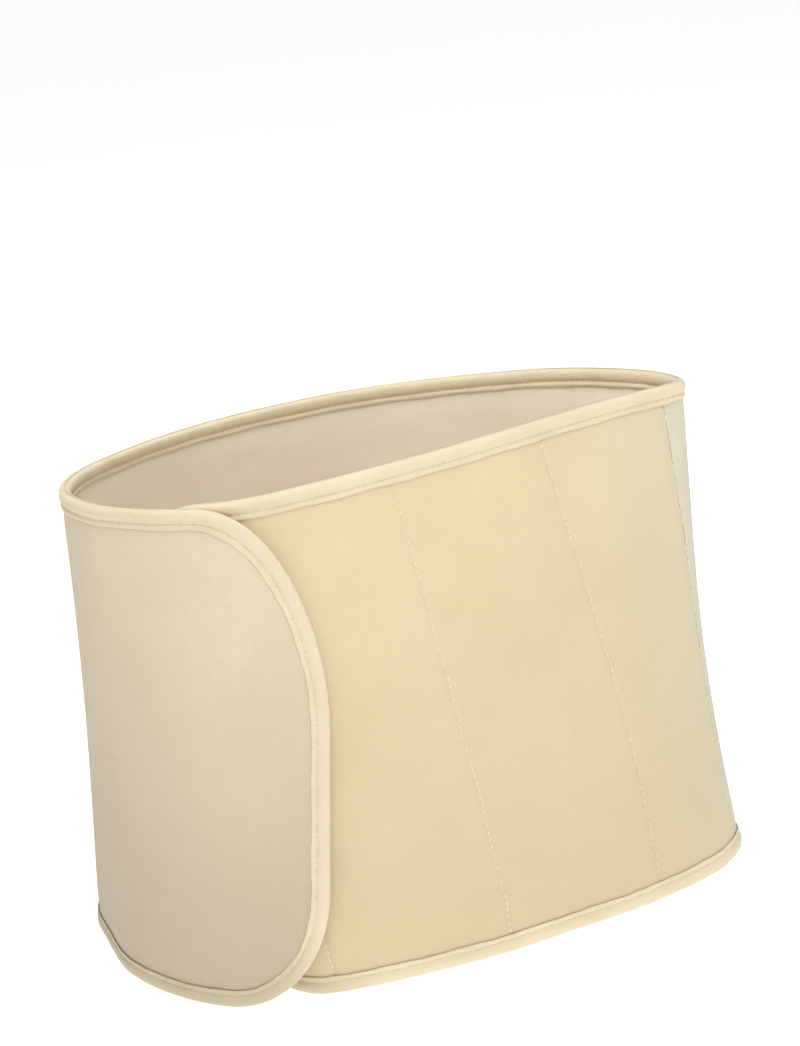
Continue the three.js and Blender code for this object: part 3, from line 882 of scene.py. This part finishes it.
def make_padding():
    left_stay, right_stay = BACK_STAYS
    side, right, left, lap = FRONT_STAYS
    slot = HALF_SLOT
    lengths = [
        ("back_wadding_middle", left_stay + slot, right_stay - slot, "back_panel", None),
        ("back_wadding_left", left_stay - slot, SPLIT_LEFT, LEFT, None),
        ("flap_wadding", SPLIT_LEFT, FLAP_END, FLAP, FLAP_CORNERS),
        ("back_wadding_right", right_stay + slot, side - slot, RIGHT, None),
        ("front_wadding_right", side + slot, right - slot, "front_panel", None),
        ("front_wadding_left", right + slot, left - slot, "front_panel", None),
        ("front_wadding_lap", left + slot, lap - slot, "front_panel", None),
        ("front_wadding_end", lap + slot, UNDERLAP_END, "front_panel", UNDERLAP_CORNERS),
    ]
    for name, start, end, bodies, corners in lengths:
        nodes = [name.replace("wadding", "padding")]
        if bodies == LEFT:
            nodes.append("left_side_padding")
        grid = sheet_grid(start, end, WADDING_EDGE, corners, WADDING_STEP)
        piece = closed_sheet(name, grid, *CORE, padding)
        attach(piece, bodies, nodes)


STAY_TIP = 0.12              # a stay's half-round end starts at this angle, radians


def stay_grid(s):
    """Grid of a flat strip with half-round ends."""
    low, high = STAY_END, HEIGHT - STAY_END
    from_tip = HALF_STAY * (1 - np.cos(np.linspace(STAY_TIP, math.pi / 2, 8)))
    heights = np.concatenate([
        low + from_tip,
        np.arange(low + 2 * HALF_STAY, high - 2 * HALF_STAY + 1, 4.0),
        high - from_tip[::-1]])
    from_end = np.minimum(heights - STAY_END, HEIGHT - STAY_END - heights)
    over = np.clip(HALF_STAY - from_end, 0, HALF_STAY)
    half = np.sqrt(HALF_STAY ** 2 - over ** 2)
    across = np.linspace(-1, 1, 9)
    return s + half[:, None] * across, np.tile(heights[:, None], (1, len(across)))


def make_stays():
    names = ["back_stay_left", "back_stay_right", "front_stay_side", "front_stay_right",
             "front_stay_left", "front_stay_lap"]
    for node, s in zip(names, BACK_STAYS + FRONT_STAYS):
        body = "back_panel" if node.startswith("back") else "front_panel"
        piece = closed_sheet(node + "_spring", stay_grid(s), *CORE, stay_steel)
        attach(piece, body, [node])


# --- Bindings ---
TAPE_STITCH = {"pitch": 3.4, "length": 2.4, "radius": 0.26, "out": 2.12}


def sew_tape(name, route, bodies):
    """Stitches in the tape's groove, on both of its sides."""
    places, ahead = along_route(route, GROOVE, TAPE_STITCH["pitch"])
    for side, way in (("outside", 1), ("inside", -1)):
        row = stitch_row(f"{name}_stitches_{side}", places, ahead, way * TAPE_STITCH["out"],
                         TAPE_STITCH["length"], TAPE_STITCH["radius"], tape_thread)
        attach(row, bodies)


def bind(name, route, bodies, nodes):
    """A tape with its stitches, along a route round the band's edges."""
    route = even_route(route)
    piece = attach(tape_piece(name, route, binding_tape), bodies, nodes)
    sew_tape(name, route, bodies)


def make_bindings():
    places = columns_between(SPLIT_RIGHT, SPLIT_LEFT, ROW_STEP)
    top, bottom = edge_route(places, HEIGHT, -1.0), edge_route(places, 0.0, 1.0)
    bind("back_top_tape", top, LEFT, ["back_binding_top", "left_side_binding_top"])
    bind("back_bottom_tape", bottom, LEFT, ["back_binding_bottom", "left_side_binding_bottom"])
    bind("flap_tape", wrap_route(SPLIT_LEFT, FLAP_END, FLAP_CORNERS), FLAP, ["flap_binding"])
    bind("front_tape", wrap_route(SPLIT_RIGHT, UNDERLAP_END, UNDERLAP_CORNERS), RIGHT,
         ["front_binding"])


# --- Stitch lines ---
THREAD_RADIUS = 0.24
LOWEST_STITCH, HIGHEST_STITCH = 11.5, HEIGHT - 10


def wobble(z, seed):
    """How far a sewn line strays sideways."""
    return 0.35 * np.sin(z * 0.11 + seed) + 0.2 * np.sin(z * 0.29 + 2.3 * seed)


def upright_stitches(name, s, bodies, slot, layer, sink=0.44, pitch=4.1, length=3.5):
    """Stitches up one line of the band, sunk into the face of a cloth."""
    z = np.arange(LOWEST_STITCH, HIGHEST_STITCH, pitch)
    z = z + 0.3 * np.sin(z * 2.9 + s)
    sink = sink + 0.16 * np.sin(z * 0.37 + s) + 0.08 * np.sin(z * 1.3)
    places = np.stack([s + wobble(z, s), z], axis=1)
    ahead = np.stack([0.08 * np.cos(z * 1.7), np.ones_like(z)], axis=1)
    face = OUTER[1] if layer == "outer" else LINING[0]
    rise = CLOTH_RISE * smoothstep(np.minimum(z, HEIGHT - z), RISE_FROM, RISE_TO)
    out = face + math.copysign(1, face) * (rise - sink)
    row = stitch_row(name, places, ahead, out, length, THREAD_RADIUS, thread)
    attach(row, bodies)


SEAM_ASIDE = 2.6             # the back seam is topstitched this far on each side


def make_stitch_lines():
    for k, s in enumerate(front_seams, 1):
        upright_stitches(f"front_pocket_stitches_{k}", s, RIGHT, "loop_cloth", "outer")
        upright_stitches(f"front_lining_stitches_{k}", s, RIGHT, "lining_cloth", "lining")
    back = ("back_panel", "plain_cloth", "outer")
    for k, s in enumerate(back_seams, 1):
        upright_stitches(f"back_pocket_stitches_{k}", s, *back)
    for k, s in enumerate((SEAM - SEAM_ASIDE, SEAM + SEAM_ASIDE), 1):
        upright_stitches(f"back_seam_stitches_{k}", s, *back, sink=0.02, pitch=3.4, length=2.4)


# --- Hooks ---
HOOK_START = 8               # the hooked panel starts this far past the flap's root
HOOK_MARGIN = 15             # and keeps this far inside the flap's edges
HOOK_NARROWEST = 4           # it ends above and below where it would be narrower than this
HOOK_PITCH = 3.0
HOOK_ROWS, HOOK_COLUMNS = 110, 16


def hook_grid():
    """The flap's outline, drawn in by the margin and cut off by an upright line."""
    start = PLACE["flap_root"] - HOOK_START
    from_edge = np.linspace(0, HEIGHT - 2 * HOOK_MARGIN, 500)
    inset = np.maximum(corner_inset(FLAP_CORNERS["bottom"], from_edge, HOOK_MARGIN),
                       corner_inset(FLAP_CORNERS["top"], from_edge[::-1], HOOK_MARGIN))
    outline = FLAP_END + HOOK_MARGIN + inset
    kept = from_edge[outline < start - HOOK_NARROWEST]
    heights = np.linspace(kept[0], kept[-1], HOOK_ROWS)
    width = start - np.interp(heights, from_edge, outline)
    s = start - width[:, None] * np.linspace(0, 1, HOOK_COLUMNS)
    return s, np.tile(heights[:, None] + HOOK_MARGIN, (1, HOOK_COLUMNS))


def hook_places(grid):
    """Staggered places inside the outline of the hooked panel."""
    s_grid, z_grid = grid
    heights, ends = z_grid[:, 0], s_grid[:, -1]
    places = []
    for row, z in enumerate(np.arange(heights[0] + 2, heights[-1] - 2, HOOK_PITCH)):
        end = np.interp(z, heights, ends) + 2
        start = s_grid[0, 0] - 2 - (row % 2) * HOOK_PITCH / 2
        places += [(s, z) for s in np.arange(start, end, -HOOK_PITCH)]
    return np.array(places)


# A hook's middle line: how far it reaches sideways and how high it stands, at each level
HOOK_SHAPE = [(0.0, 0.0), (0.02, 0.35), (0.2, 0.62), (0.48, 0.6), (0.58, 0.36)]
HOOK_RADIUS, HOOK_SIDES = 0.13, 4
HOOK_SINK = 0.05             # a hook starts this far inside the base


def make_hooks(grid):
    """Small bent hooks that stand on the flap's inner face, all in one piece."""
    places = hook_places(grid)
    base = surface(*places.T, HOOKS[0])
    inward = -outward_at(*places.T)
    up = np.array([0.0, 0.0, 1.0])
    side = np.cross(up, inward)
    turned = np.where((np.round(places[:, 1] / HOOK_PITCH) % 2 == 0), 1.0, -1.0)[:, None]
    rings = []
    for reach, rise in HOOK_SHAPE:
        centre = base + (side * reach * turned + inward * (rise - HOOK_SINK)) * MM
        for k in range(HOOK_SIDES):
            a = math.pi * (k / 2 + 0.25)
            rings.append(centre + HOOK_RADIUS * MM * (up * math.cos(a) + side * math.sin(a)))
    return repeated("flap_hooks", places, rings, HOOK_SIDES, hook_plastic)


def make_hook_panel():
    grid = hook_grid()
    panel = closed_sheet("flap_hook_base", grid, *HOOKS, hook_plastic)
    attach(panel, FLAP, ["flap_hook_panel"])
    attach(make_hooks(grid), FLAP)


# --- Stage ---
FLOOR_HALF = 60.0            # half the floor's side, metres
FLOOR_DROP = 0.0004          # the floor lies this far under the band, metres
FLOOR_GLOW = 0.66
BAND_MIDDLE = (0, 0, 0.14)   # what the lights face, metres


def make_floor():
    material, tree, shader, where, _ = start_material("pale_floor", 0.9, Specular_IOR_Level=0.1)
    speckle = noise(tree, where, 4.0, 3.0)
    colour = mixed(tree, speckle, srgb(252, 252, 252), srgb(249, 249, 249))
    tree.links.new(colour, shader.inputs["Base Color"])
    shader.inputs["Emission Color"].default_value = (1, 1, 1, 1)
    shader.inputs["Emission Strength"].default_value = FLOOR_GLOW
    uv = [(0, 0), (1, 0), (1, 1), (0, 1)]
    points = [((2 * u - 1) * FLOOR_HALF, (2 * v - 1) * FLOOR_HALF, -FLOOR_DROP) for u, v in uv]
    make_object("floor", points, [(0, 1, 2, 3)], uv, material)


def add_light(name, where, size, power, colour=(1, 1, 1)):
    data = bpy.data.lights.new(name, "AREA")
    data.shape, data.size, data.energy, data.color = "DISK", size, power, colour
    light = bpy.data.objects.new(name, data)
    light.location = where
    toward = Vector(BAND_MIDDLE) - light.location
    light.rotation_euler = toward.to_track_quat("-Z", "Y").to_euler()
    bpy.context.scene.collection.objects.link(light)


def make_lights():
    add_light("key", (1.5, -1.6, 1.7), 1.6, 4.0, (1.0, 0.985, 0.95))
    add_light("over_the_front", (0.15, -0.8, 1.75), 1.0, 16.3)
    add_light("into_the_band", (-0.08, -0.02, 0.9), 0.3, 1.8)
    world = bpy.data.worlds.new("studio")
    world.use_nodes = True
    tree = world.node_tree
    background = tree.nodes["Background"]
    background.inputs["Color"].default_value = (0.99, 0.995, 1.0, 1)
    towards = add_node(tree, "ShaderNodeTexCoord").outputs["Generated"]
    rise = split(tree, towards)[2]
    strength = add_node(tree, "ShaderNodeMapRange", {"interpolation_type": "SMOOTHSTEP"},
                        Value=rise, From_Min=0.08, From_Max=0.3, To_Min=1.0, To_Max=0.27)
    tree.links.new(strength.outputs[0], background.inputs["Strength"])
    bpy.context.scene.world = world


CAMERA_TARGET = Vector((-RING_CENTRE[0], -RING_CENTRE[1], HEIGHT / 2)) * MM
CAMERA_DISTANCE, CAMERA_RISE = 1.2, math.radians(25)
CAMERA_ROLL, CAMERA_TILT = math.radians(-6.5), math.radians(4.32)
CAMERA_ANGLE = math.radians(27.06)


def make_camera():
    away = Vector((0, -math.cos(CAMERA_RISE), math.sin(CAMERA_RISE)))
    data = bpy.data.cameras.new("camera")
    data.sensor_fit, data.angle = "VERTICAL", CAMERA_ANGLE
    camera = bpy.data.objects.new("camera", data)
    camera.location = CAMERA_TARGET + away * CAMERA_DISTANCE
    turn = (-away).to_track_quat("-Z", "Y").to_matrix()
    turn = turn @ Matrix.Rotation(CAMERA_ROLL, 3, "Z") @ Matrix.Rotation(CAMERA_TILT, 3, "X")
    camera.rotation_euler = turn.to_euler()
    bpy.context.scene.collection.objects.link(camera)
    bpy.context.scene.camera = camera


make_camera()
make_lights()
make_floor()
make_cloths()
make_linings()
make_padding()
make_stays()
make_bindings()
make_stitch_lines()
make_hook_panel()
bpy.context.scene.view_settings.view_transform = "Standard"
